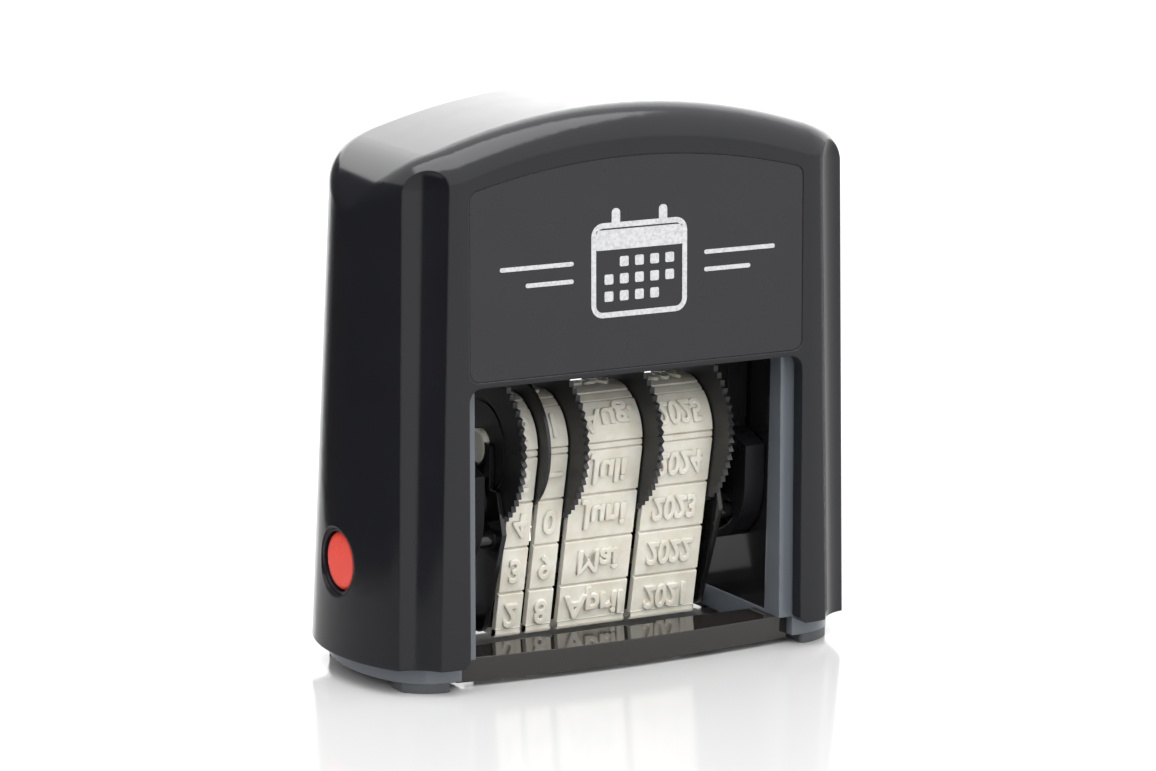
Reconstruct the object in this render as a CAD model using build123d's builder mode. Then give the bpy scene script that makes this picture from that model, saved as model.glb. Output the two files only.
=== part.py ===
from build123d import *
import math
import os

# Self-inking rotary date stamp, standing on its feet with the cap pressed down and locked.
# Millimetres. X runs along the long front face, the front faces -Y, Z is up.
# Origin: middle of the footprint, on the table.

os.makedirs("parts", exist_ok=True)

# ------------------------------------------------------------------ driving sizes
cap_half_length = 32.7        # widest point of the bulging narrow side
cap_half_depth = 13.2         # wide face to middle plane, at the cap's lower edge
cap_bottom = 3.0              # lower edge of the cap in the locked position
cap_top = 65.1                # crown of the cap
wall = 1.75                   # cap wall
stroke = 16.0                 # how far the cap rises when it is released
window_half = 22.0            # half width of the windows in the cap
window_top = 34.8
print_face = 2.7              # underside of the bands, held just off the paper by the lock
wheel_z = 25.2                # axle of the setting wheels
rim_radius = 9.6              # toothed rims of the setting wheels
band_wheel_radius = 6.3       # outside of a band where it runs over its wheel
band_end_half = 2.85          # half depth of a band at the print face
band_thickness = 1.2
column_half = 20.3            # inner faces of the frame's two columns
frame_bottom = 1.1            # the feet lift the frame by this much
running_gap = 0.08            # radial clearance of everything that turns

# ------------------------------------------------------------------ worked-out sizes
face_draft = 0.0357           # the wide faces lean in, mm per mm of height
end_draft = 0.023             # the narrow sides lean in less
cap_corner_x = cap_half_length - 5.0
cap_corner_radius = 7.9
crown_radius = 80.0           # gentle arch of the top, seen from the front
shoulder_radius = 9.0         # arch into the narrow sides
top_edge_radius = 3.6         # top into the wide faces
slide_gap = 0.2               # cap over frame, each side
roof = cap_top - wall
pivot_z = (print_face + wheel_z + rim_radius) / 2
print_reach = pivot_z - print_face
pad_z = pivot_z + stroke + print_reach
bridge_bottom = pad_z + 4.7
bridge_top = bridge_bottom + 1.5
clear_of_all = 80.0           # a length that cuts past everything
whole_depth = (-20, 20)       # along Y, past both wide faces

# The band group along X: rim, band, disc, band, rim, band, rim, band, rim.
rim_width = 0.6
disc_width = 0.4
side_gap = 0.1
digit_width = 3.4
month_width = 9.1
year_width = 8.7
rim_1_x = -13.6
band_1_x = rim_1_x + rim_width + side_gap
disc_x = band_1_x + digit_width + side_gap
band_2_x = disc_x + disc_width + side_gap
rim_2_x = band_2_x + digit_width + side_gap
band_3_x = rim_2_x + rim_width + side_gap
rim_3_x = band_3_x + month_width + side_gap
band_4_x = rim_3_x + rim_width + side_gap
rim_4_x = band_4_x + year_width + side_gap
cheek_thickness = 0.6
cheek_left_x = rim_1_x - side_gap - cheek_thickness
cheek_right_x = rim_4_x + rim_width + side_gap

# Arms of the yoke, between the carrier and the frame.
arm_inner = 17.4
arm_outer = 20.0
arm_half = 3.4                # past the wheel axle and through the bridge
arm_wide_half = 7.6           # rounded lower plate
arm_shoulder_z = 25.0         # top of the wide plate
pivot_radius = 1.6

# Cam pins on the carrier, in the curved tracks of the frame.
cam_radius = 5.4              # distance from the pivot
cam_pin_radius = 0.9
cam_start = math.radians(-138)  # direction from the pivot when the cap is down
track_gap = 0.15
cam_plate_thickness = 1.4
track_floor = column_half + cam_plate_thickness

# Lock buttons in the narrow sides.
button_z = 13.6
button_radius = 3.4
button_travel = 2.0
button_wall = cap_half_length - end_draft * (button_z - cap_bottom)
button_face = button_wall - 0.7
collar_radius = 4.1
collar_outer = 28.0
collar_inner = 27.0
channel_floor = 26.7

# Labels on the wide faces, measured up the face from the cap's lower edge.
label_rise = 0.7              # bottom of a label above the window
label_shoulder = 53.7
label_arch = 2.9
label_corner = 1.2
label_thickness = 0.26
label_pocket = 0.3
label_play = 0.04

# ------------------------------------------------------------------ shared shapes


def block(x_range, y_range, z_range, mode=Mode.ADD):
    """Box given by its limits along the three axes."""
    ranges = (x_range, y_range, z_range)
    with Locations([tuple((low + high) / 2 for low, high in ranges)]):
        Box(*[high - low for low, high in ranges], mode=mode)


def rod(x_range, y, z, radius, mode=Mode.ADD):
    """Round bar along X."""
    low, high = x_range
    with Locations([Location(((low + high) / 2, y, z), (0, 90, 0))]):
        Cylinder(radius, high - low, mode=mode)


def plan_outline(height, inset):
    """Plan of the cap at a height: flat wide faces, bulging narrow sides, round corners."""
    rise = height - cap_bottom
    tip = cap_half_length - end_draft * rise
    corner = cap_corner_x - end_draft * rise
    depth = cap_half_depth - face_draft * rise
    with BuildSketch(Plane.XY.offset(height)) as outline:
        with BuildLine():
            Line((-corner, -depth), (corner, -depth))
            ThreePointArc((corner, -depth), (tip, 0), (corner, depth))
            Line((corner, depth), (-corner, depth))
            ThreePointArc((-corner, depth), (-tip, 0), (-corner, -depth))
        make_face()
        fillet(outline.vertices(), radius=cap_corner_radius)
        if inset > 0:
            offset(amount=-inset, mode=Mode.REPLACE)
    return outline.sketch


def arch_profile(inset):
    """Front view of the arched top, just wide enough to leave the narrow sides alone."""
    springing = cap_top - cap_half_length ** 2 / (2 * crown_radius)
    half = cap_half_length - end_draft * (springing - cap_bottom) + 0.1
    foot = -6.0
    foot_half = half + end_draft * (springing - foot)
    with BuildSketch(Plane.XZ) as profile:
        with BuildLine():
            Line((-foot_half, foot), (foot_half, foot))
            Line((foot_half, foot), (half, springing))
            ThreePointArc((half, springing), (0, cap_top), (-half, springing))
            Line((-half, springing), (-foot_half, foot))
        make_face()
        fillet(profile.vertices().group_by(Axis.Y)[-1], radius=shoulder_radius)
        if inset > 0:
            offset(amount=-inset, mode=Mode.REPLACE)
    return profile.sketch


def cap_form(inset, bottom):
    """Body of the cap, shrunk by an inset on every side and cut off at a height."""
    lower = plan_outline(bottom, inset).faces()[0]
    upper = plan_outline(cap_top, inset).faces()[0]
    arch = arch_profile(inset)
    with BuildPart() as form:
        loft([lower, upper], ruled=True)
        extrude(arch, amount=2 * cap_half_depth, both=True, mode=Mode.INTERSECT)
        rim = form.edges().filter_by(
            lambda edge: edge.center().Z > 50 and abs(edge.center().Y) > 6)
        fillet(rim.filter_by(Axis.Y, reverse=True), radius=top_edge_radius - min(inset, wall))
    return form.part


def corner_spots(x, y):
    """The same point in each quarter of the plan."""
    return [(sx * x, sy * y) for sx in (-1, 1) for sy in (-1, 1)]


def wide_face(side):
    """Plane on the leaning wide face, side -1 for the front and 1 for the back."""
    lean = math.atan(face_draft)
    return Plane(origin=(0, side * cap_half_depth, cap_bottom), x_dir=(-side, 0, 0),
                 z_dir=(0, side * math.cos(lean), math.sin(lean)))


def label_outline(side, play):
    """Label above the window: straight sides and an arched top."""
    half = window_half - 0.1 + play
    low = window_top - cap_bottom + label_rise - play
    shoulder = label_shoulder + play
    with BuildSketch(wide_face(side)) as outline:
        with BuildLine():
            Line((-half, low), (half, low))
            Line((half, low), (half, shoulder))
            ThreePointArc((half, shoulder), (0, shoulder + label_arch), (-half, shoulder))
            Line((-half, shoulder), (-half, low))
        make_face()
        fillet(outline.vertices(), radius=label_corner)
    return outline.sketch


def save(body, name):
    """Name a finished sub-part and write it out."""
    body.label = name
    export_step(body, f"parts/{name}.step")


# ------------------------------------------------------------------ cap shell
outer_form = cap_form(0, cap_bottom)
cavity_form = cap_form(wall, cap_bottom - 2.0)
spring_boss_radius = 2.6
window_corner = 1.6
leg_tip_chamfer = 0.7
flute_radius = 5.5
flute_top = 57.3
flute_x = 30.42               # axis of a flute where it meets the table
flute_y = 15.92
recess_radius = 3.95          # round the lock buttons
recess_depth = 0.5

with BuildPart() as cap_shell:
    add(outer_form)
    add(cavity_form, mode=Mode.SUBTRACT)
    # Open windows in both wide faces, running out through the lower edge.
    with BuildSketch(Plane.XZ) as window:
        with Locations([(0, (window_top - cap_bottom) / 2)]):
            Rectangle(2 * window_half, window_top + cap_bottom)
        fillet(window.vertices().group_by(Axis.Y)[-1], radius=window_corner)
    extrude(amount=clear_of_all, both=True, mode=Mode.SUBTRACT)
    leg_tips = cap_shell.edges().filter_by(
        lambda edge: abs(abs(edge.center().X) - window_half) < 0.01
        and abs(edge.center().Z - cap_bottom) < 0.01)
    chamfer(leg_tips, length=leg_tip_chamfer)
    # A shallow upright flute in each rounded corner.
    for x, y in corner_spots(flute_x, flute_y):
        lean_in = flute_top * end_draft, flute_top * face_draft
        foot = Vector(x, y, 0)
        head = Vector(x - math.copysign(lean_in[0], x), y - math.copysign(lean_in[1], y), flute_top)
        with BuildSketch(Plane(origin=foot, z_dir=head - foot)):
            Circle(flute_radius)
        extrude(amount=(head - foot).length, mode=Mode.SUBTRACT)
        with Locations([head]):
            Sphere(flute_radius, mode=Mode.SUBTRACT)
    # Stepped holes for the lock buttons.
    for side in (-1, 1):
        rod(sorted((side * collar_outer, side * clear_of_all)), 0, button_z,
            button_radius + running_gap, Mode.SUBTRACT)
        rod(sorted((side * (button_wall - recess_depth), side * clear_of_all)), 0, button_z,
            recess_radius, Mode.SUBTRACT)
    # Pockets for the labels.
    for side in (-1, 1):
        extrude(label_outline(side, label_play), amount=-label_pocket, mode=Mode.SUBTRACT)
    # Centring boss for the spring under the roof.
    with BuildSketch(Plane.XY.offset(roof - 1.5)):
        Circle(spring_boss_radius)
    extrude(amount=2.4)
save(cap_shell.part, "cap_shell")

# ------------------------------------------------------------------ labels
for side, name in ((-1, "front_label"), (1, "back_label")):
    with BuildPart() as label:
        extrude(label_outline(side, 0), amount=-label_pocket)
        extrude(label_outline(side, 0), amount=-(label_pocket - label_thickness), mode=Mode.SUBTRACT)
    save(label.part, name)

# ------------------------------------------------------------------ yoke
yoke_underside = 59.5
spring_radius = 3.7
spring_wire = 0.35            # radius of the wire
arm_slope = 1.5               # height of the sloping shoulders of an arm
crosspiece_half = 6.5
swing_gap = 0.3               # round the cam pin

with BuildPart() as yoke:
    # Crosspiece that follows the roof of the cap.
    block((-arm_outer, arm_outer), (-crosspiece_half, crosspiece_half),
          (yoke_underside, cap_top))
    add(cavity_form, mode=Mode.INTERSECT)
    # Arms: narrow through the bridge, then a wide plate with a round end about the pivot.
    for side in (-1, 1):
        with BuildSketch(Plane.YZ.offset(side * (arm_inner + arm_outer) / 2)):
            with BuildLine():
                Polyline((-arm_wide_half, pivot_z), (-arm_wide_half, arm_shoulder_z - arm_slope),
                         (-arm_half, arm_shoulder_z), (-arm_half, yoke_underside + 0.5),
                         (arm_half, yoke_underside + 0.5), (arm_half, arm_shoulder_z),
                         (arm_wide_half, arm_shoulder_z - arm_slope), (arm_wide_half, pivot_z))
                ThreePointArc((arm_wide_half, pivot_z), (0, pivot_z - arm_wide_half),
                              (-arm_wide_half, pivot_z))
            make_face()
            # Slot in which the cam pin swings half a turn.
            with BuildLine(mode=Mode.PRIVATE) as swing:
                CenterArc((0, pivot_z), cam_radius, math.degrees(cam_start), 180)
            trace(swing.line, line_width=2 * (cam_pin_radius + swing_gap), mode=Mode.SUBTRACT)
            with Locations(swing.line @ 0, swing.line @ 1):
                Circle(cam_pin_radius + swing_gap, mode=Mode.SUBTRACT)
        extrude(amount=(arm_outer - arm_inner) / 2, both=True)
    rod((-arm_outer, arm_outer), 0, pivot_z, pivot_radius + running_gap, Mode.SUBTRACT)
    # Hole that lets the spring through to the roof.
    with BuildSketch(Plane.XY.offset(yoke_underside - 1)):
        Circle(spring_radius + spring_wire + 0.6)
    extrude(amount=10, mode=Mode.SUBTRACT)
save(yoke.part, "yoke")

# ------------------------------------------------------------------ lock buttons
for side, name in ((-1, "lock_button_left"), (1, "lock_button_right")):
    with BuildPart() as button:
        rod(sorted((side * collar_outer, side * button_face)), 0, button_z, button_radius)
        front_edge = button.edges().sort_by(Axis.X)[-1 if side > 0 else 0]
        fillet(front_edge, radius=0.6)
        rod(sorted((side * collar_inner, side * collar_outer)), 0, button_z, collar_radius)
    save(button.part, name)

# ------------------------------------------------------------------ inner frame
column_top = 46.0
plate_outer = 22.3            # outer side of each column's inner plate
rail_inner = 8.2              # pad housing, half depth inside
ledge_inner = 7.2
ledge_bottom = pad_z + 0.5
ledge_top = pad_z + 1.3
bar_notch = 22.1              # ends of the crossbars sit in notches up to here
notch_start = 5.6
bar_top = 3.4
plate_half = 8.0              # cam plates in the columns
plate_bottom = 3.8
plate_top = 42.0
plate_play = 0.03
track_depth = 1.1
track_steps = 16
channel_half = 4.6            # room for the collar of a lock button
pocket_half = 8.0             # hollow in the outer side of a column
pocket_wall = 1.2             # between that hollow and the button's channel
arm_gap = 0.3                 # round the arms where they pass the bridge


def track_point(travel):
    """Centre of the cam pin when the cap has risen by a travel."""
    turn = cam_start + math.pi * travel / stroke
    return cam_radius * math.cos(turn), pivot_z + travel + cam_radius * math.sin(turn)


with BuildPart() as inner_frame:
    add(cap_form(wall + slide_gap, frame_bottom))
    # Room for the carrier between the columns, and above the bridge.
    block((-column_half, column_half), whole_depth, (0, ledge_bottom), Mode.SUBTRACT)
    block((-clear_of_all, clear_of_all), whole_depth, (bridge_top, clear_of_all), Mode.SUBTRACT)
    # Housing that holds the pad cartridge: open below, with a ledge along each side.
    block((-column_half, column_half), (-ledge_inner, ledge_inner), (ledge_bottom, ledge_top),
          Mode.SUBTRACT)
    block((-column_half, column_half), (-rail_inner, rail_inner), (ledge_top, bridge_bottom),
          Mode.SUBTRACT)
    for side in (-1, 1):
        # Outer half of the column stops below the shoulder of the cap.
        block(sorted((side * plate_outer, side * clear_of_all)), whole_depth,
              (column_top, clear_of_all), Mode.SUBTRACT)
        # Channel for the lock button and the pocket behind it.
        block(sorted((side * channel_floor, side * clear_of_all)), (-channel_half, channel_half),
              (button_z - channel_half, clear_of_all), Mode.SUBTRACT)
        block(sorted((side * plate_outer, side * (channel_floor - pocket_wall))),
              (-pocket_half, pocket_half), (button_z - pocket_half, clear_of_all), Mode.SUBTRACT)
        # Slot in the bridge for the arm of the yoke.
        block(sorted((side * (arm_inner - arm_gap), side * (arm_outer + arm_gap))),
              (-arm_half - arm_gap, arm_half + arm_gap), (ledge_top, clear_of_all), Mode.SUBTRACT)
        # Pocket for the cam plate.
        block(sorted((side * column_half, side * track_floor)), (-plate_half, plate_half),
              (plate_bottom, plate_top), Mode.SUBTRACT)
    # Notches for the ends of the crossbars.
    for side in (-1, 1):
        block((-bar_notch, bar_notch), sorted((side * notch_start, side * clear_of_all)),
              (0, bar_top), Mode.SUBTRACT)
    # Lower end of the spring stands on this boss.
    with BuildSketch(Plane.XY.offset(bridge_top)):
        Circle(spring_boss_radius)
    extrude(amount=1.2)
save(inner_frame.part, "inner_frame")

# ------------------------------------------------------------------ cam plates
for side, name in ((-1, "cam_plate_left"), (1, "cam_plate_right")):
    with BuildPart() as cam_plate:
        block(sorted((side * column_half, side * (track_floor - plate_play))),
              (-plate_half + plate_play, plate_half - plate_play),
              (plate_bottom + plate_play, plate_top - plate_play))
        # Curved track that turns the carrier over while the cap rises.
        with BuildSketch(Plane.YZ.offset(side * column_half)):
            with BuildLine():
                Spline([track_point(stroke * step / track_steps) for step in range(track_steps + 1)])
            trace(line_width=2 * (cam_pin_radius + track_gap))
            with Locations([track_point(0), track_point(stroke)]):
                Circle(cam_pin_radius + track_gap)
        extrude(amount=side * track_depth, mode=Mode.SUBTRACT)
    save(cam_plate.part, name)

# ------------------------------------------------------------------ crossbars of the base
bar_bottom = 0.6
bar_end_y = 10.1
bar_middle_y = 11.5
bar_inner_y = 5.8
lip_thickness = 1.3
shelf_thickness = 1.1
aiming_notches = ((-8.0, 1.6), (4.5, 4.0))  # place along X and width, seen from the bar's own side
aiming_depth = 0.7

for side, name in ((-1, "front_crossbar"), (1, "rear_crossbar")):
    with BuildPart() as crossbar:
        with BuildSketch(Plane.XY.offset(bar_bottom)):
            with BuildLine():
                Line((-bar_notch, side * bar_inner_y), (bar_notch, side * bar_inner_y))
                Line((bar_notch, side * bar_inner_y), (bar_notch, side * bar_end_y))
                ThreePointArc((bar_notch, side * bar_end_y), (0, side * bar_middle_y),
                              (-bar_notch, side * bar_end_y))
                Line((-bar_notch, side * bar_end_y), (-bar_notch, side * bar_inner_y))
            make_face()
        extrude(amount=bar_top - bar_bottom)
        # Hollow underneath leaves a shelf behind an upright lip.
        block((-bar_notch + 1.5, bar_notch - 1.5),
              sorted((side * (bar_inner_y - 1), side * (bar_end_y - lip_thickness))),
              (0, bar_top - shelf_thickness), Mode.SUBTRACT)
        # Two aiming notches in the shelf's inner edge.
        for along, width in aiming_notches:
            middle = -side * along
            block((middle - width / 2, middle + width / 2),
                  sorted((side * (bar_inner_y - 1), side * (bar_inner_y + aiming_depth))),
                  (0, clear_of_all), Mode.SUBTRACT)
    save(crossbar.part, name)

# ------------------------------------------------------------------ feet
foot_names = {(-1, -1): "foot_front_left", (1, -1): "foot_front_right",
              (-1, 1): "foot_back_left", (1, 1): "foot_back_right"}
foot_plan = plan_outline(0, wall + slide_gap + 0.1)

for (side_x, side_y), name in foot_names.items():
    with BuildPart() as foot:
        extrude(foot_plan, amount=frame_bottom)
        block(sorted((side_x * 23.4, side_x * 28.4)), sorted((side_y * 6.2, side_y * 14)),
              (-1, 2), Mode.INTERSECT)
        fillet(foot.edges().filter_by(Axis.Z), radius=0.5)
    save(foot.part, name)

# ------------------------------------------------------------------ ink cartridge
tray_half_length = 16.5
tray_half_depth = 7.0
pad_half_length = 15.2
pad_half_depth = 5.8
tray_bottom = pad_z + 0.4

with BuildPart() as ink_tray:
    block((-tray_half_length, tray_half_length), (-tray_half_depth, tray_half_depth),
          (tray_bottom, bridge_bottom - 0.1))
    block((-tray_half_length, tray_half_length), (-rail_inner + 0.1, rail_inner - 0.1),
          (ledge_top + 0.1, ledge_top + 1.1))
    block((-pad_half_length, pad_half_length), (-pad_half_depth, pad_half_depth),
          (0, pad_z + 3.2), Mode.SUBTRACT)
save(ink_tray.part, "ink_tray")

with BuildPart() as ink_pad:
    block((-pad_half_length + 0.1, pad_half_length - 0.1),
          (-pad_half_depth + 0.1, pad_half_depth - 0.1), (pad_z + 0.1, pad_z + 3.15))
    fillet(ink_pad.edges().group_by(Axis.Z)[0], radius=0.4)
save(ink_pad.part, "ink_pad")

# ------------------------------------------------------------------ return spring
spring_turns = 5
spring_low = bridge_top + spring_wire + 0.02
spring_high = roof - spring_wire - 0.1

with BuildPart() as return_spring:
    with BuildLine():
        Helix(pitch=(spring_high - spring_low) / spring_turns, height=spring_high - spring_low,
              radius=spring_radius, center=(0, 0, spring_low))
    with BuildSketch(Plane(origin=(spring_radius, 0, spring_low), z_dir=(0, 1, 0))):
        Circle(spring_wire)
    sweep(is_frenet=True)
save(return_spring.part, "return_spring")

# ------------------------------------------------------------------ band carrier
axle_radius = 2.0
web_foot_radius = 1.6
web_foot_y = 0.9
web_foot_z = print_face + 2.4
web_corner = (6.3, 16.5)      # widest point of a cheek
web_top = (5.0, 20.8)
seat_half = 3.2               # open seat that the axle snaps into
seat_top = wheel_z + 0.8
seat_mouth = 1.7              # half opening, a little narrower than the axle
cheeks = {"carrier_cheek_left": (-1, cheek_left_x, cheek_left_x + cheek_thickness),
          "carrier_cheek_right": (1, cheek_right_x, cheek_right_x + cheek_thickness)}
cam_y, cam_z = track_point(0)

for name, (side, low_x, high_x) in cheeks.items():
    outside = high_x if side > 0 else low_x
    with BuildPart() as cheek:
        with BuildSketch(Plane.YZ.offset(low_x)):
            with Locations([(-web_foot_y, web_foot_z), (web_foot_y, web_foot_z)]):
                Circle(web_foot_radius)
            for y, z in (web_corner, web_top):
                with Locations([(-y + 0.5, z - 0.5), (y - 0.5, z - 0.5)]):
                    Circle(0.5)
            make_hull()
        extrude(amount=cheek_thickness)
        block((low_x, high_x), (-seat_half, seat_half), (pivot_z, seat_top))
        fillet(cheek.edges().filter_by(Axis.X).group_by(Axis.Z)[-1], radius=0.5)
        rod((low_x - 1, high_x + 1), 0, wheel_z, axle_radius, Mode.SUBTRACT)
        block((low_x, high_x), (-seat_mouth, seat_mouth), (wheel_z, seat_top + 1), Mode.SUBTRACT)
        # Pivot that turns in the arm, and cam pin that reaches into the frame.
        rod(sorted((outside, side * (arm_outer + 0.1))), 0, pivot_z, pivot_radius)
        rod(sorted((outside, side * (arm_inner - 0.25))), 0, pivot_z, pivot_radius + 1.0)
        rod(sorted((outside, side * (column_half + track_depth - 0.2))), cam_y, cam_z, cam_pin_radius)
    save(cheek.part, name)

inside_span = (cheek_left_x + cheek_thickness, cheek_right_x)

with BuildPart() as print_platen:
    platen_half = band_end_half - band_thickness - 0.03
    block(inside_span, (-platen_half, platen_half), (print_face + band_thickness + 0.03, 8.6))
    fillet(print_platen.edges().filter_by(Axis.X), radius=0.3)
save(print_platen.part, "print_platen")

with BuildPart() as tie_rod:
    rod(inside_span, 0, 12.0, 1.2)
save(tie_rod.part, "tie_rod")

with BuildPart() as wheel_axle:
    rod((cheek_left_x - 0.05, cheek_right_x + cheek_thickness + 0.05), 0, wheel_z, axle_radius)
    fillet(wheel_axle.edges().filter_by(GeomType.CIRCLE), radius=0.4)
save(wheel_axle.part, "wheel_axle")

with BuildPart() as spacer_disc:
    rod((disc_x, disc_x + disc_width), 0, wheel_z, 8.0)
    rod((disc_x - 1, disc_x + 1), 0, wheel_z, axle_radius, Mode.SUBTRACT)
save(spacer_disc.part, "spacer_disc")

# ------------------------------------------------------------------ setting wheels
rim_teeth = 56
tooth_depth = 0.55
ring_radius = 5.4
ring_width = 0.5
ring_depth = 0.2
drum_radius = band_wheel_radius - band_thickness - running_gap
wheel_layout = {
    "wheel_day_tens": (rim_1_x, (rim_1_x, band_1_x + digit_width)),
    "wheel_day_units": (rim_2_x, (band_2_x, rim_2_x + rim_width)),
    "wheel_month": (rim_3_x, (band_3_x, rim_3_x + rim_width)),
    "wheel_year": (rim_4_x, (band_4_x, rim_4_x + rim_width)),
}

for name, (rim_x, drum_span) in wheel_layout.items():
    with BuildPart() as wheel:
        rod(drum_span, 0, wheel_z, drum_radius)
        with BuildSketch(Plane.YZ.offset(rim_x)):
            with BuildLine():
                points = []
                for tooth in range(rim_teeth):
                    for radius, share in ((rim_radius - tooth_depth, 0), (rim_radius, 0.5)):
                        angle = 2 * math.pi * (tooth + share) / rim_teeth
                        points.append((radius * math.cos(angle),
                                       wheel_z + radius * math.sin(angle)))
                Polyline(*points, close=True)
            make_face()
        extrude(amount=rim_width)
        # Shallow ring in the face of the rim.
        with BuildSketch(Plane.YZ.offset(rim_x)):
            with Locations([(0, wheel_z)]):
                Circle(ring_radius + ring_width / 2)
                Circle(ring_radius - ring_width / 2, mode=Mode.SUBTRACT)
        extrude(amount=ring_depth, mode=Mode.SUBTRACT)
        rod((rim_1_x - 1, rim_4_x + 2), 0, wheel_z, axle_radius + running_gap, Mode.SUBTRACT)
    save(wheel.part, name)

# ------------------------------------------------------------------ printing bands
band_layout = {
    "band_day_tens": (band_1_x, digit_width),
    "band_day_units": (band_2_x, digit_width),
    "band_month": (band_3_x, month_width),
    "band_year": (band_4_x, year_width),
}
end_corner = 1.3              # rounding of a band at the print face
corner_y = band_end_half - end_corner
corner_z = print_face + end_corner


def band_loop(x, depth_in):
    """Side view of a band: round over the wheel, tapering to the flat print face."""
    with BuildSketch(Plane.YZ.offset(x)) as loop:
        with Locations([(0, wheel_z)]):
            Circle(band_wheel_radius - depth_in)
        with Locations([(-corner_y, corner_z), (corner_y, corner_z)]):
            Circle(end_corner - depth_in)
        make_hull()
    return loop.sketch


for name, (x, width) in band_layout.items():
    with BuildPart() as band:
        extrude(band_loop(x, 0), amount=width)
        extrude(band_loop(x, band_thickness), amount=width, mode=Mode.SUBTRACT)
    save(band.part, name)
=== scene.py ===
import math

import bmesh
import bpy
from mathutils import Matrix, Vector


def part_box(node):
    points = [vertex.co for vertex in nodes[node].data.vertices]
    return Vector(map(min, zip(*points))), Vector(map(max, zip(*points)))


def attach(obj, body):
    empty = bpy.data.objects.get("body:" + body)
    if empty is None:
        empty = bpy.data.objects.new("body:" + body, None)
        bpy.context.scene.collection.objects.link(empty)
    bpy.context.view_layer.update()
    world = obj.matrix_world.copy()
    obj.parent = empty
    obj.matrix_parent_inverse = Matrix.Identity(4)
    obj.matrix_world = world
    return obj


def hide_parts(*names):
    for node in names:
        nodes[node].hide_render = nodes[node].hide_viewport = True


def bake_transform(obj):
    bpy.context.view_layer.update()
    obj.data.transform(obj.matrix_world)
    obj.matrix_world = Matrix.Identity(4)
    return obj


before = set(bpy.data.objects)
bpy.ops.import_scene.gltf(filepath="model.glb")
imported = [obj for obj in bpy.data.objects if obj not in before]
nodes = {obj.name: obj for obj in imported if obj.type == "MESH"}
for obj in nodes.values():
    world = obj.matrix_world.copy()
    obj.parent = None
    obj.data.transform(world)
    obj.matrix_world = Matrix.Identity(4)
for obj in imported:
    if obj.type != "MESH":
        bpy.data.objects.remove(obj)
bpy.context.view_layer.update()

MM = 0.001


# ------------------------------------------------------------------ camera
def place_camera(position, yaw, pitch, roll, lens):
    """Camera at a point, turned yaw to the right of +Y, pitch downwards and roll, in degrees."""
    yaw, pitch, roll = (math.radians(angle) for angle in (yaw, pitch, roll))
    forward = Vector((math.sin(yaw) * math.cos(pitch), math.cos(yaw) * math.cos(pitch), -math.sin(pitch)))
    level_right = Vector((math.cos(yaw), -math.sin(yaw), 0))
    level_up = level_right.cross(forward)
    right = math.cos(roll) * level_right + math.sin(roll) * level_up
    up = -math.sin(roll) * level_right + math.cos(roll) * level_up
    camera = bpy.data.objects.new("camera", bpy.data.cameras.new("camera"))
    camera.matrix_world = (Matrix.Translation(position)
                           @ Matrix((right, up, -forward)).transposed().to_4x4())
    camera.data.sensor_width = 36
    camera.data.lens = lens
    bpy.context.scene.collection.objects.link(camera)
    bpy.context.scene.camera = camera


CAMERA_YAW = 30.635
place_camera(Vector((-282.8, -476.0, 150.0)) * MM, CAMERA_YAW, 12.14, 1.021, 152.75)
bpy.context.scene.view_settings.view_transform = "Standard"


# ------------------------------------------------------------------ materials
class Graph:
    """Short names for building a node material."""

    def __init__(self, name):
        self.material = bpy.data.materials.new(name)
        self.material.use_nodes = True
        self.tree = self.material.node_tree
        self.shader = self.tree.nodes["Principled BSDF"]
        self.place = self.node("TexCoord").outputs["Object"]

    def node(self, kind, **settings):
        made = self.tree.nodes.new("ShaderNode" + kind)
        for key, value in settings.items():
            setattr(made, key, value)
        return made

    def link(self, source, target):
        self.tree.links.new(source, target)

    def noise(self, scale, detail=4.0, stretch=None):
        """Noise over the object, its scale in cells to the metre."""
        made = self.node("TexNoise")
        made.inputs["Scale"].default_value = scale
        made.inputs["Detail"].default_value = detail
        source = self.place
        if stretch:
            mapping = self.node("Mapping")
            mapping.inputs["Scale"].default_value = stretch
            self.link(source, mapping.inputs["Vector"])
            source = mapping.outputs["Vector"]
        self.link(source, made.inputs["Vector"])
        return made.outputs["Fac"]

    def remap(self, source, low, high, to_low, to_high):
        made = self.node("MapRange")
        self.link(source, made.inputs["Value"])
        ends = (("From Min", low), ("From Max", high), ("To Min", to_low), ("To Max", to_high))
        for socket, value in ends:
            made.inputs[socket].default_value = value
        return made.outputs["Result"]

    def product(self, first, second):
        made = self.node("Math", operation="MULTIPLY")
        self.link(first, made.inputs[0])
        self.link(second, made.inputs[1])
        return made.outputs["Value"]

    def blend(self, factor, first, second):
        """Mix of two colours, each a colour or an output."""
        made = self.node("Mix", data_type="RGBA")
        self.link(factor, made.inputs["Factor"])
        for socket, value in ((made.inputs[6], first), (made.inputs[7], second)):
            if isinstance(value, bpy.types.NodeSocket):
                self.link(value, socket)
            else:
                socket.default_value = (*value, 1)
        return made.outputs[2]

    def soft_edges(self, radius):
        """Normal that rounds the edges, and a mask that is 1 along them."""
        bevel = self.node("Bevel", samples=4)
        bevel.inputs["Radius"].default_value = radius
        dot = self.node("VectorMath", operation="DOT_PRODUCT")
        self.link(bevel.outputs["Normal"], dot.inputs[0])
        self.link(self.node("NewGeometry").outputs["Normal"], dot.inputs[1])
        return bevel.outputs["Normal"], self.remap(dot.outputs["Value"], 0.985, 0.80, 0, 1)

    def bump(self, height, depth, normal=None):
        made = self.node("Bump")
        made.inputs["Distance"].default_value = depth
        self.link(height, made.inputs["Height"])
        if normal:
            self.link(normal, made.inputs["Normal"])
        return made.outputs["Normal"]


def scaled(colour, factor):
    return tuple(min(1.0, channel * factor) for channel in colour)


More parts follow.
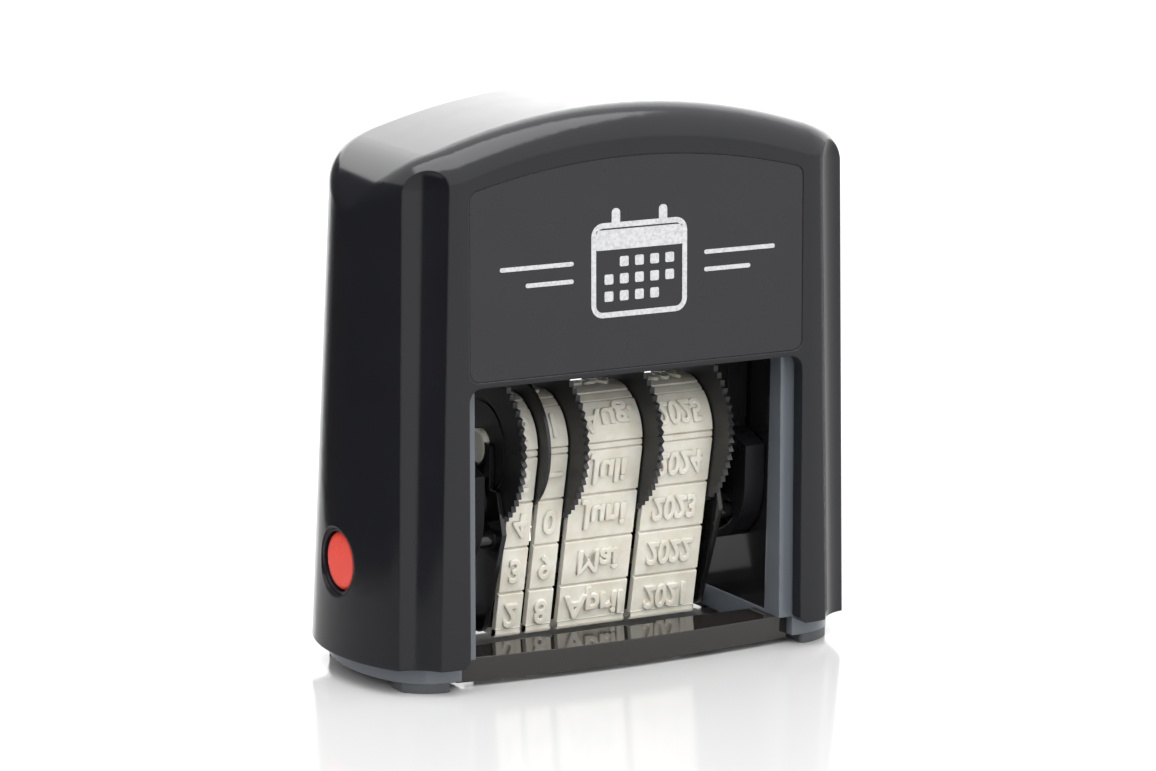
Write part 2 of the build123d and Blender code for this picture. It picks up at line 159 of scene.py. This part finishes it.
def moulded(name, colour, roughness, specular=0.3, edge=0.2, worn=1.8, uneven=0.12,
            grain=9000, grain_depth=0.4, coat=0.0):
    """Moulded plastic: cloudy colour, fine grain, rubbed edges. Edge in mm, grain depth in microns."""
    graph = Graph(name)
    shader = graph.shader
    normal, edge_mask = graph.soft_edges(edge * MM)
    cloud = graph.noise(160)
    base = graph.blend(cloud, scaled(colour, 1 - uneven), scaled(colour, 1 + uneven))
    rubbed = graph.product(edge_mask, graph.remap(graph.noise(700, 6), 0.42, 0.62, 0.1, 0.8))
    graph.link(graph.blend(rubbed, base, scaled(colour, worn)), shader.inputs["Base Color"])
    smudge = graph.noise(260, 6)
    graph.link(graph.remap(smudge, 0.3, 0.7, roughness * 0.8, roughness * 1.25),
               shader.inputs["Roughness"])
    graph.link(graph.bump(graph.noise(grain, 2), grain_depth * 1e-6, normal), shader.inputs["Normal"])
    shader.inputs["Specular IOR Level"].default_value = specular
    shader.inputs["Coat Weight"].default_value = coat
    shader.inputs["Coat Roughness"].default_value = 0.06
    return graph.material


def brushed_steel(name):
    """Drawn spring wire."""
    graph = Graph(name)
    drawn = graph.noise(2500, 5)
    colour = graph.blend(drawn, (0.36, 0.37, 0.38), (0.62, 0.62, 0.61))
    graph.link(colour, graph.shader.inputs["Base Color"])
    graph.link(graph.remap(graph.noise(900), 0.3, 0.7, 0.22, 0.4), graph.shader.inputs["Roughness"])
    graph.link(graph.bump(drawn, 4e-6), graph.shader.inputs["Normal"])
    graph.shader.inputs["Metallic"].default_value = 1.0
    return graph.material


def rubber(name):
    """Cream stamp rubber: powdery, a little yellower and dirtier in patches."""
    graph = Graph(name)
    shader = graph.shader
    normal, edge_mask = graph.soft_edges(0.07 * MM)
    patches = graph.remap(graph.noise(420, 6), 0.35, 0.68, 0, 1)
    base = graph.blend(patches, (0.60, 0.58, 0.515), (0.52, 0.495, 0.415))
    specks = graph.remap(graph.noise(3800, 3), 0.64, 0.74, 0, 0.35)
    dusty = graph.blend(specks, base, (0.38, 0.34, 0.26))
    graph.link(graph.blend(edge_mask, dusty, (0.68, 0.66, 0.60)), shader.inputs["Base Color"])
    graph.link(graph.remap(graph.noise(1500), 0.3, 0.7, 0.42, 0.6), shader.inputs["Roughness"])
    graph.link(graph.bump(graph.noise(5200, 5), 12e-6, normal), shader.inputs["Normal"])
    shader.inputs["Specular IOR Level"].default_value = 0.35
    shader.inputs["Subsurface Weight"].default_value = 0.12
    shader.inputs["Subsurface Scale"].default_value = 0.0006
    return graph.material


def felt(name):
    """Felt soaked with black ink, with lighter fibres."""
    graph = Graph(name)
    shader = graph.shader
    fibres = graph.noise(5200, 8, (1, 1, 0.35))
    wet = graph.remap(graph.noise(240, 5), 0.35, 0.65, 0, 1)
    base = graph.blend(wet, (0.012, 0.011, 0.016), (0.035, 0.033, 0.045))
    strands = graph.remap(fibres, 0.55, 0.72, 0, 0.5)
    graph.link(graph.blend(strands, base, (0.10, 0.10, 0.12)), shader.inputs["Base Color"])
    graph.link(graph.remap(wet, 0, 1, 0.55, 0.9), shader.inputs["Roughness"])
    graph.link(graph.bump(fibres, 60e-6), shader.inputs["Normal"])
    shader.inputs["Sheen Weight"].default_value = 0.3
    return graph.material


def printed_white(name):
    """White screen print with slightly uneven cover."""
    graph = Graph(name)
    cover = graph.remap(graph.noise(3000, 5), 0.35, 0.6, 0, 1)
    colour = graph.blend(cover, (0.30, 0.30, 0.31), (0.40, 0.40, 0.41))
    graph.link(colour, graph.shader.inputs["Base Color"])
    graph.link(graph.remap(graph.noise(1800), 0.3, 0.7, 0.45, 0.65), graph.shader.inputs["Roughness"])
    graph.link(graph.bump(graph.noise(9000), 2e-6), graph.shader.inputs["Normal"])
    return graph.material


looks = {
    "cap_black": moulded("cap plastic", (0.0065, 0.0067, 0.0082), 0.15, 0.27, edge=0.3, worn=2.6),
    "label_film": moulded("label film", (0.0125, 0.0125, 0.0145), 0.3, 0.27, edge=0.15, worn=2.0,
                          grain=14000, grain_depth=0.6),
    "yoke_black": moulded("yoke plastic", (0.005, 0.005, 0.006), 0.3, 0.12),
    "spring_steel": brushed_steel("spring wire"),
    "button_red": moulded("button plastic", (0.46, 0.028, 0.014), 0.28, 0.4, worn=1.15, uneven=0.05),
    "frame_grey": moulded("frame plastic", (0.082, 0.092, 0.105), 0.2, 0.45, edge=0.25, worn=1.6,
                          uneven=0.06),
    "crossbar_smoke": moulded("crossbar plastic", (0.013, 0.011, 0.010), 0.05, 0.35, edge=0.2, coat=0.25),
    "foot_dark": moulded("foot rubber", (0.055, 0.058, 0.063), 0.5, 0.3),
    "tray_black": moulded("tray plastic", (0.008, 0.008, 0.009), 0.35, 0.3),
    "pad_felt": felt("inked felt"),
    "carrier_black": moulded("carrier plastic", (0.006, 0.006, 0.0065), 0.12, 0.4),
    "axle_ivory": moulded("axle plastic", (0.66, 0.66, 0.55), 0.3, 0.4, worn=1.1, uneven=0.05),
    "wheel_black": moulded("wheel plastic", (0.011, 0.011, 0.012), 0.33, 0.35, edge=0.06, worn=3.0,
                           grain=6000, grain_depth=3.0),
    "band_cream": rubber("band rubber"),
}
white_print = printed_white("white print")

slot_of = {
    "cap_shell": "cap_black",
    "front_label": "label_film",
    "back_label": "label_film",
    "yoke": "yoke_black",
    "return_spring": "spring_steel",
    "lock_button_left": "button_red",
    "lock_button_right": "button_red",
    "inner_frame": "frame_grey",
    "front_crossbar": "crossbar_smoke",
    "rear_crossbar": "crossbar_smoke",
    "foot_front_left": "foot_dark",
    "foot_front_right": "foot_dark",
    "foot_back_left": "foot_dark",
    "foot_back_right": "foot_dark",
    "cam_plate_left": "carrier_black",
    "cam_plate_right": "carrier_black",
    "ink_tray": "tray_black",
    "ink_pad": "pad_felt",
    "carrier_cheek_left": "carrier_black",
    "carrier_cheek_right": "carrier_black",
    "print_platen": "carrier_black",
    "tie_rod": "carrier_black",
    "wheel_axle": "axle_ivory",
    "spacer_disc": "wheel_black",
    "wheel_day_tens": "wheel_black",
    "wheel_day_units": "wheel_black",
    "wheel_month": "wheel_black",
    "wheel_year": "wheel_black",
    "band_day_tens": "band_cream",
    "band_day_units": "band_cream",
    "band_month": "band_cream",
    "band_year": "band_cream",
}
for node_name, slot_name in slot_of.items():
    mesh = nodes[node_name].data
    mesh.materials.clear()
    mesh.materials.append(looks[slot_name])


def new_piece(name, mesh, material):
    """Object from a finished mesh, in the scene, with its material."""
    mesh.materials.clear()
    mesh.materials.append(material)
    piece = bpy.data.objects.new(name, mesh)
    bpy.context.scene.collection.objects.link(piece)
    return piece


def stitch(bm, rings, closed=False):
    """Quads from each ring of vertices to the next, and from the last to the first if closed."""
    next_rings = rings[1:] + rings[:1] if closed else rings[1:]
    for first, second in zip(rings, next_rings):
        for index in range(len(first)):
            following = (index + 1) % len(first)
            bm.faces.new((first[index], first[following], second[following], second[index]))


def prism(bm, outline, height):
    """Prism over an outline in the XY plane."""
    bottom, top = [[bm.verts.new((x, y, z)) for x, y in outline] for z in (0, height)]
    bm.faces.new(reversed(bottom))
    bm.faces.new(top)
    stitch(bm, [bottom, top])


def finished(bm, name):
    """Mesh made from a bmesh, which is freed."""
    mesh = bpy.data.meshes.new(name)
    bm.to_mesh(mesh)
    bm.free()
    return mesh


# ------------------------------------------------------------------ printing bands
BAND_THICKNESS = 1.2 * MM
FIELD_DEPTH = 0.34 * MM       # the flat of a cell, below the printing surface
GROOVE_DEPTH = 0.72 * MM      # the groove between cells
STRIP_DEPTH = 0.42 * MM       # the strips between cells where the band goes round its wheel
CELLS = 12
CELL_STOPS = (-1, -0.75, -0.5, -0.25, 0, 0.25, 0.5, 0.75, 1)  # shares of half a cell's flat
CELL_SLOPE = 0.14 * MM        # length of the sloping sides of a cell
CELL_SHORTER = 0.05 * MM      # each end of a cell stops this much before its pitch
BAND_INSET = 0.05 * MM        # each side, within the CAD band
BAND_EDGE = 0.05 * MM         # rounding of the cells' edges
END_HALF = 2.85 * MM          # half depth of a band at the print face
END_CORNER = 1.3 * MM
LETTER_HEIGHT = 2.95 * MM
LETTER_MARGIN = 0.7 * MM      # left free of letters across a band
LETTER_ROOT = 0.08 * MM       # the letters start this far under the flat of a cell

month_low, month_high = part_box("band_month")
wheel_radius = (month_high.y - month_low.y) / 2
axle_z = month_high.z - wheel_radius
print_z = month_low.z


class BandLoop:
    """Side view of a band as lengths along its outside: 0 is the middle of the print face, and the
    length grows up the front and over the wheel."""

    def __init__(self):
        to_corner = Vector((-(END_HALF - END_CORNER), print_z + END_CORNER - axle_z))
        spread = math.acos((wheel_radius - END_CORNER) / to_corner.length)
        self.lean = math.atan2(to_corner.y, to_corner.x) - spread
        self.normal = Vector((math.cos(self.lean), math.sin(self.lean)))
        self.tangent_point = Vector((0, axle_z)) + wheel_radius * self.normal
        self.up = Vector((self.normal.y, -self.normal.x))
        self.leg = (self.tangent_point.y - print_z) / self.up.y
        self.foot = self.tangent_point - self.leg * self.up
        self.face = abs(self.foot.x)
        self.arc = wheel_radius * (self.lean % math.tau - math.pi / 2)
        self.half = self.face + self.leg + self.arc

    def at(self, length, depth=0.0):
        """Point on the loop at a length, at a depth below its surface."""
        length = (length + self.half) % (2 * self.half) - self.half
        side = 1 if length >= 0 else -1
        run = abs(length)
        if run < self.face:
            point, normal = Vector((-run, print_z)), Vector((0, -1))
        elif run < self.face + self.leg:
            point, normal = self.foot + (run - self.face) * self.up, self.normal
        else:
            turn = self.lean - (run - self.face - self.leg) / wheel_radius
            normal = Vector((math.cos(turn), math.sin(turn)))
            point = Vector((0, axle_z)) + wheel_radius * normal
        point = point - depth * normal
        return Vector((side * point.x, point.y))

    def stretched(self, inner):
        """Outside length of a length on the inside, which gets no longer round the wheel."""
        over = max(0.0, inner - self.face - self.leg)
        return inner + over * BAND_THICKNESS / (wheel_radius - BAND_THICKNESS)


loop = BandLoop()
inner_half = loop.face + loop.leg + loop.arc * (1 - BAND_THICKNESS / wheel_radius)
pitch = 2 * (inner_half - loop.face) / (CELLS - 1)


def cell_middle(index):
    """Length along the loop of the middle of a cell. Cell 0 is the print face."""
    index = index % CELLS
    if index == 0:
        return 0.0
    inner = loop.face + (index - 0.5) * pitch
    if inner > inner_half:
        return 2 * loop.half - loop.stretched(2 * inner_half - inner)
    return loop.stretched(inner)


def cell_half(index):
    """Half the length of a cell."""
    return (loop.face if index % CELLS == 0 else pitch / 2) - CELL_SHORTER


def text_mesh(text):
    """Text as a solid with sloping sides, at the font's own size."""
    curve = bpy.data.curves.new("letters", "FONT")
    curve.body = text
    curve.align_x = "CENTER"
    curve.extrude = 0.03
    curve.bevel_depth = 0.028
    curve.bevel_resolution = 1
    curve.offset = 0.012
    curve.resolution_u = 5
    holder = bpy.data.objects.new("letters", curve)
    bpy.context.scene.collection.objects.link(holder)
    mesh = bpy.data.meshes.new_from_object(holder)
    bpy.data.objects.remove(holder)
    bpy.data.curves.remove(curve)
    return mesh


def letter_mesh(text, widest, squeeze):
    """Raised letters on the XY plane, centred, tops towards +Y, their height running from 0 to 1."""
    capital = text_mesh("H")
    low_y = min(vertex.co.y for vertex in capital.vertices)
    high_y = max(vertex.co.y for vertex in capital.vertices)
    bpy.data.meshes.remove(capital)
    mesh = text_mesh(text)
    size = LETTER_HEIGHT / (high_y - low_y)
    xs = [vertex.co.x for vertex in mesh.vertices]
    zs = [vertex.co.z for vertex in mesh.vertices]
    across = min(size * squeeze, widest / (max(xs) - min(xs)))
    middle_x = (max(xs) + min(xs)) / 2
    for vertex in mesh.vertices:
        height = (vertex.co.z - min(zs)) / (max(zs) - min(zs))
        vertex.co = Vector(((vertex.co.x - middle_x) * across,
                            (vertex.co.y - (low_y + high_y) / 2) * size, height))
    return mesh


def band_mesh(name, low_x, high_x, texts, squeeze):
    """Endless rubber band with raised cells, strips between them and mirrored relief letters."""
    bm = bmesh.new()
    outer, inner = [], []
    for index in range(CELLS):
        middle = cell_middle(index)
        half = cell_half(index)
        following = cell_middle(index + 1) + (2 * loop.half if index == CELLS - 1 else 0)
        gap_end = following - cell_half(index + 1)
        stops = [(middle - half, GROOVE_DEPTH)]
        stops += [(middle + share * (half - CELL_SLOPE), FIELD_DEPTH) for share in CELL_STOPS]
        stops += [(middle + half, GROOVE_DEPTH)]
        if gap_end - (middle + half) > 4 * CELL_SLOPE:
            stops += [(middle + half + CELL_SLOPE, STRIP_DEPTH), (gap_end - CELL_SLOPE, STRIP_DEPTH)]
        for run, depth in stops:
            outer.append(loop.at(run, depth))
            inner.append(loop.at(run, BAND_THICKNESS))
    left, right = low_x + BAND_INSET, high_x - BAND_INSET
    rings = [[bm.verts.new((x, point.x, point.y)) for point in ring]
             for x, ring in ((left, outer), (right, outer), (right, inner), (left, inner))]
    stitch(bm, rings, closed=True)
    bmesh.ops.recalc_face_normals(bm, faces=bm.faces)
    edges = [edge for edge in bm.edges if edge.calc_face_angle(0) > math.radians(20)]
    bmesh.ops.bevel(bm, geom=edges, offset=BAND_EDGE, segments=2, affect="EDGES", profile=0.5)
    for index, text in enumerate(texts):
        if not text:
            continue
        letters = letter_mesh(text, high_x - low_x - LETTER_MARGIN, squeeze)
        for vertex in letters.vertices:
            across, tall, height = vertex.co
            spot = loop.at(cell_middle(index) - tall, (FIELD_DEPTH + LETTER_ROOT) * (1 - height))
            vertex.co = ((low_x + high_x) / 2 + across, spot.x, spot.y)
        letters.flip_normals()
        bm.from_mesh(letters)
        bpy.data.meshes.remove(letters)
    return finished(bm, name)


month_names = ["Jan.", "Feb.", "März", "April", "Mai", "Juni",
               "Juli", "Aug.", "Sept.", "Okt.", "Nov.", "Dez."]
printed_month = 2
band_texts = {
    "band_day_tens": ["1", "2", "3", "4", "5", "6", "7", "8", "9", "0", "–", ""],
    "band_day_units": ["7", "8", "9", "0", "–", "1", "2", "3", "4", "5", "6", ""],
    "band_month": [month_names[(printed_month + index) % CELLS] for index in range(CELLS)],
    "band_year": [str(2020 + index) for index in range(CELLS)],
}
squeezes = {"band_day_tens": 0.85, "band_day_units": 0.85, "band_month": 1.0, "band_year": 0.78}
for node_name, texts in band_texts.items():
    low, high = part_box(node_name)
    mesh = band_mesh(node_name, low.x, high.x, texts, squeezes[node_name])
    piece = new_piece(node_name + "_relief", mesh, looks["band_cream"])
    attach(piece, "carrier")
    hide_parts(node_name)


# ------------------------------------------------------------------ ink pad
def pad_mesh(low, high):
    """Felt block whose sides bulge and whose inked underside is slightly crowned."""
    bm = bmesh.new()
    across, deep = 60, 24
    size = high - low
    levels = (0.0, 0.12, 0.5, 0.88, 1.0)
    side_pull, crown_height = 0.025, 0.1

    def corner(column, row, level):
        u, v = column / across * 2 - 1, row / deep * 2 - 1
        pull = side_pull * (2 * level - 1) ** 2
        crown = crown_height * max(abs(u), abs(v)) ** 6 if level == 0 else 0
        return (low.x + size.x * (0.5 + 0.5 * u * (1 - pull * 0.4)),
                low.y + size.y * (0.5 + 0.5 * v * (1 - pull)),
                low.z + size.z * (level + crown))

    grids = {}
    for level in (0.0, 1.0):
        grids[level] = [[bm.verts.new(corner(column, row, level)) for column in range(across + 1)]
                        for row in range(deep + 1)]
        for row in range(deep):
            for column in range(across):
                bm.faces.new((grids[level][row][column], grids[level][row][column + 1],
                              grids[level][row + 1][column + 1], grids[level][row + 1][column]))
    around = [(column, 0) for column in range(across)]
    around += [(across, row) for row in range(deep)]
    around += [(column, deep) for column in range(across, 0, -1)]
    around += [(0, row) for row in range(deep, 0, -1)]
    rings = []
    for level in levels:
        if level in grids:
            rings.append([grids[level][row][column] for column, row in around])
        else:
            rings.append([bm.verts.new(corner(column, row, level)) for column, row in around])
    stitch(bm, rings)
    bmesh.ops.recalc_face_normals(bm, faces=bm.faces)
    mesh = finished(bm, "ink_pad")
    mesh.shade_smooth()
    return mesh


pad = new_piece("ink_pad_felt", pad_mesh(*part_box("ink_pad")), looks["pad_felt"])
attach(pad, "frame")
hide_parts("ink_pad")


# ------------------------------------------------------------------ return spring
def spring_mesh(low, high, wire_radius, turns):
    """Coil of round wire whose end turns lie flat."""
    bm = bmesh.new()
    radius = (high.x - low.x) / 2 - wire_radius
    steps, sides = turns * 40, 12
    rings = []
    for step in range(steps + 1):
        share = step / steps
        turn = math.tau * turns * share
        eased = min(1.0, max(0.0, (share * (turns + 1) - 0.5) / turns))
        centre = Vector(((low.x + high.x) / 2 + radius * math.cos(turn),
                         (low.y + high.y) / 2 + radius * math.sin(turn),
                         low.z + wire_radius + eased * (high.z - low.z - 2 * wire_radius)))
        outward = Vector((math.cos(turn), math.sin(turn), 0))
        ring = []
        for side in range(sides):
            angle = math.tau * side / sides
            spoke = math.cos(angle) * outward + math.sin(angle) * Vector((0, 0, 1))
            ring.append(bm.verts.new(centre + wire_radius * spoke))
        rings.append(ring)
    stitch(bm, rings)
    bm.faces.new(rings[0])
    bm.faces.new(reversed(rings[-1]))
    bmesh.ops.recalc_face_normals(bm, faces=bm.faces)
    mesh = finished(bm, "return_spring")
    mesh.shade_smooth()
    return mesh


SPRING_WIRE = 0.35 * MM
SPRING_TURNS = 6

spring_low, spring_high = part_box("return_spring")
spring = new_piece("return_spring_coil", spring_mesh(spring_low, spring_high, SPRING_WIRE, SPRING_TURNS),
                   looks["spring_steel"])
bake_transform(spring)
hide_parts("return_spring")


# ------------------------------------------------------------------ white print on the labels
def rounded_rectangle(centre, width, height, radius, steps=6):
    """Outline of a rectangle with round corners, counter-clockwise."""
    points = []
    for quarter in range(4):
        corner = Vector((math.copysign(width / 2 - radius, (1, -1, -1, 1)[quarter]),
                         math.copysign(height / 2 - radius, (1, 1, -1, -1)[quarter])))
        for step in range(steps + 1):
            angle = math.pi / 2 * (quarter + step / steps)
            points.append((centre[0] + corner.x + radius * math.cos(angle),
                           centre[1] + corner.y + radius * math.sin(angle)))
    return points


def calendar_mesh(name):
    """Plain calendar sheet between two pairs of rules, in mm on the XY plane."""
    bm = bmesh.new()
    thick = 0.02
    sheet_width, sheet_height, sheet_corner, line = 12.6, 10.8, 1.5, 0.62
    inside_width, inside_height = sheet_width - 2 * line, sheet_height - 2 * line
    outside = rounded_rectangle((0, 0), sheet_width, sheet_height, sheet_corner)
    inside = rounded_rectangle((0, 0), inside_width, inside_height, sheet_corner - line)
    edges_of_sheet = ((outside, 0), (outside, thick), (inside, thick), (inside, 0))
    stitch(bm, [[bm.verts.new((x, y, z)) for x, y in outline] for outline, z in edges_of_sheet], closed=True)
    # Solid head of the sheet, and the two binding rings.
    prism(bm, rounded_rectangle((0, 3.45), inside_width, 2.3, 0.2), thick)
    for x in (-3.1, 3.1):
        prism(bm, rounded_rectangle((x, 5.9), 1.1, 2.2, 0.5), 1.3 * thick)
    # Squares for the days; the month starts late and ends early.
    for row in range(3):
        for column in range(5):
            if (row, column) in ((0, 0), (2, 4)):
                continue
            prism(bm, rounded_rectangle((-4.0 + 2.0 * column, 0.9 - 1.95 * row), 1.15, 1.15, 0.2), thick)
    # A long and a short rule on either side.
    rule_start, rule_width = 8.6, 0.5
    for side in (-1, 1):
        for y, length in ((1.1, 9.5), (-0.9, 6.2)):
            middle = (side * (rule_start + length / 2), y)
            prism(bm, rounded_rectangle(middle, length, rule_width, 0.24), thick)
    bmesh.ops.recalc_face_normals(bm, faces=bm.faces)
    return finished(bm, name)


FACE_LEAN = math.atan(0.0357)  # the wide faces lean in towards the top
PRINT_HEIGHT = 0.47           # middle of the print, as a share of the label's height
PRINT_LIFT = 0.004 * MM       # keeps the print's underside off the label

for label_name, side in (("front_label", -1), ("back_label", 1)):
    low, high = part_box(label_name)
    up = Vector((0, -side * math.sin(FACE_LEAN), math.cos(FACE_LEAN)))
    out = Vector((0, side * math.cos(FACE_LEAN), math.sin(FACE_LEAN)))
    right = up.cross(out)
    foot_y = low.y if side < 0 else high.y
    centre = Vector((0, foot_y, low.z)) + up * (high.z - low.z) * PRINT_HEIGHT + out * PRINT_LIFT
    mesh = calendar_mesh(label_name + "_print")
    mesh.transform(Matrix.Translation(centre) @ Matrix((right, up, out)).transposed().to_4x4()
                   @ Matrix.Scale(MM, 4))
    piece = new_piece(label_name + "_print", mesh, white_print)
    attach(piece, "cap")


# ------------------------------------------------------------------ floor and light
def stage_floor():
    """Large glossy white table."""
    bm = bmesh.new()
    bmesh.ops.create_grid(bm, x_segments=1, y_segments=1, size=4)
    mesh = finished(bm, "floor")
    graph = Graph("floor")
    graph.shader.inputs["Base Color"].default_value = (0.33, 0.33, 0.33, 1)
    graph.link(graph.remap(graph.noise(3), 0.3, 0.7, 0.1, 0.13), graph.shader.inputs["Roughness"])
    graph.shader.inputs["Specular IOR Level"].default_value = 0.3
    new_piece("floor", mesh, graph.material)


def softbox(name, position, target, size, power):
    """Square area light that faces a target."""
    lamp = bpy.data.objects.new(name, bpy.data.lights.new(name, "AREA"))
    lamp.data.shape = "RECTANGLE"
    lamp.data.size, lamp.data.size_y = size
    lamp.data.energy = power
    position = Vector(position)
    aim = (Vector(target) - position).to_track_quat("-Z", "Y")
    lamp.matrix_world = Matrix.Translation(position) @ aim.to_matrix().to_4x4()
    bpy.context.scene.collection.objects.link(lamp)


def reflection_card(name, ends, low, high, brightness):
    """Upright card between two plan points, seen only in reflections."""
    corners = [(x, y, z) for x, y in ends for z in (low, high)]
    mesh = bpy.data.meshes.new(name)
    mesh.from_pydata(corners, [], [(0, 2, 3, 1)])
    graph = Graph(name)
    emission = graph.node("Emission")
    emission.inputs["Color"].default_value = (1, 1, 1, 1)
    emission.inputs["Strength"].default_value = brightness
    graph.link(emission.outputs["Emission"], graph.tree.nodes["Material Output"].inputs["Surface"])
    card = new_piece(name, mesh, graph.material)
    card.visible_camera = False
    card.visible_diffuse = False
    card.visible_shadow = False
    card.visible_transmission = False


def studio_spot(across, ahead):
    """Plan point given across and ahead of the middle of the object, as the camera looks at it."""
    yaw = math.radians(CAMERA_YAW)
    x = across * math.cos(yaw) + ahead * math.sin(yaw)
    y = ahead * math.cos(yaw) - across * math.sin(yaw)
    return x, y


stage_floor()
world = bpy.data.worlds.new("studio")
world.use_nodes = True
world.node_tree.nodes["Background"].inputs["Color"].default_value = (1, 1, 1, 1)
world.node_tree.nodes["Background"].inputs["Strength"].default_value = 2.2
bpy.context.scene.world = world
softbox("overhead", (-0.05, -0.12, 0.55), (0, 0, 0.03), (0.7, 0.5), 6)

# Dark cards beside the object keep its narrow side deep black, fading out at both ends.
SIDE_CARDS = ((-0.26, -0.20, 0.6), (-0.20, -0.16, 0.25), (-0.16, 0.05, 0.03), (0.05, 0.07, 0.15),
              (0.07, 0.10, 0.5))
CARD_HEIGHT = 0.09
CARD_LEFT = -0.08
for index, (near, far, brightness) in enumerate(SIDE_CARDS):
    ends = [studio_spot(CARD_LEFT, near), studio_spot(CARD_LEFT, far)]
    reflection_card(f"dark_card_{index}", ends, 0, CARD_HEIGHT, brightness)
# One more in front darkens the front left flute.
CARD_AHEAD = -0.085
ends = [studio_spot(CARD_LEFT, CARD_AHEAD), studio_spot(-0.012, CARD_AHEAD)]
reflection_card("front_left_card", ends, 0, CARD_HEIGHT, 0.03)
# A bright wall behind lights the top of the cap.
for index, (low, high, brightness) in enumerate(((0.02, 0.14, 2.1), (0.14, 0.8, 3.3))):
    ends = [studio_spot(-0.8, 0.6), studio_spot(1.0, 0.6)]
    reflection_card(f"back_wall_{index}", ends, low, high, brightness)
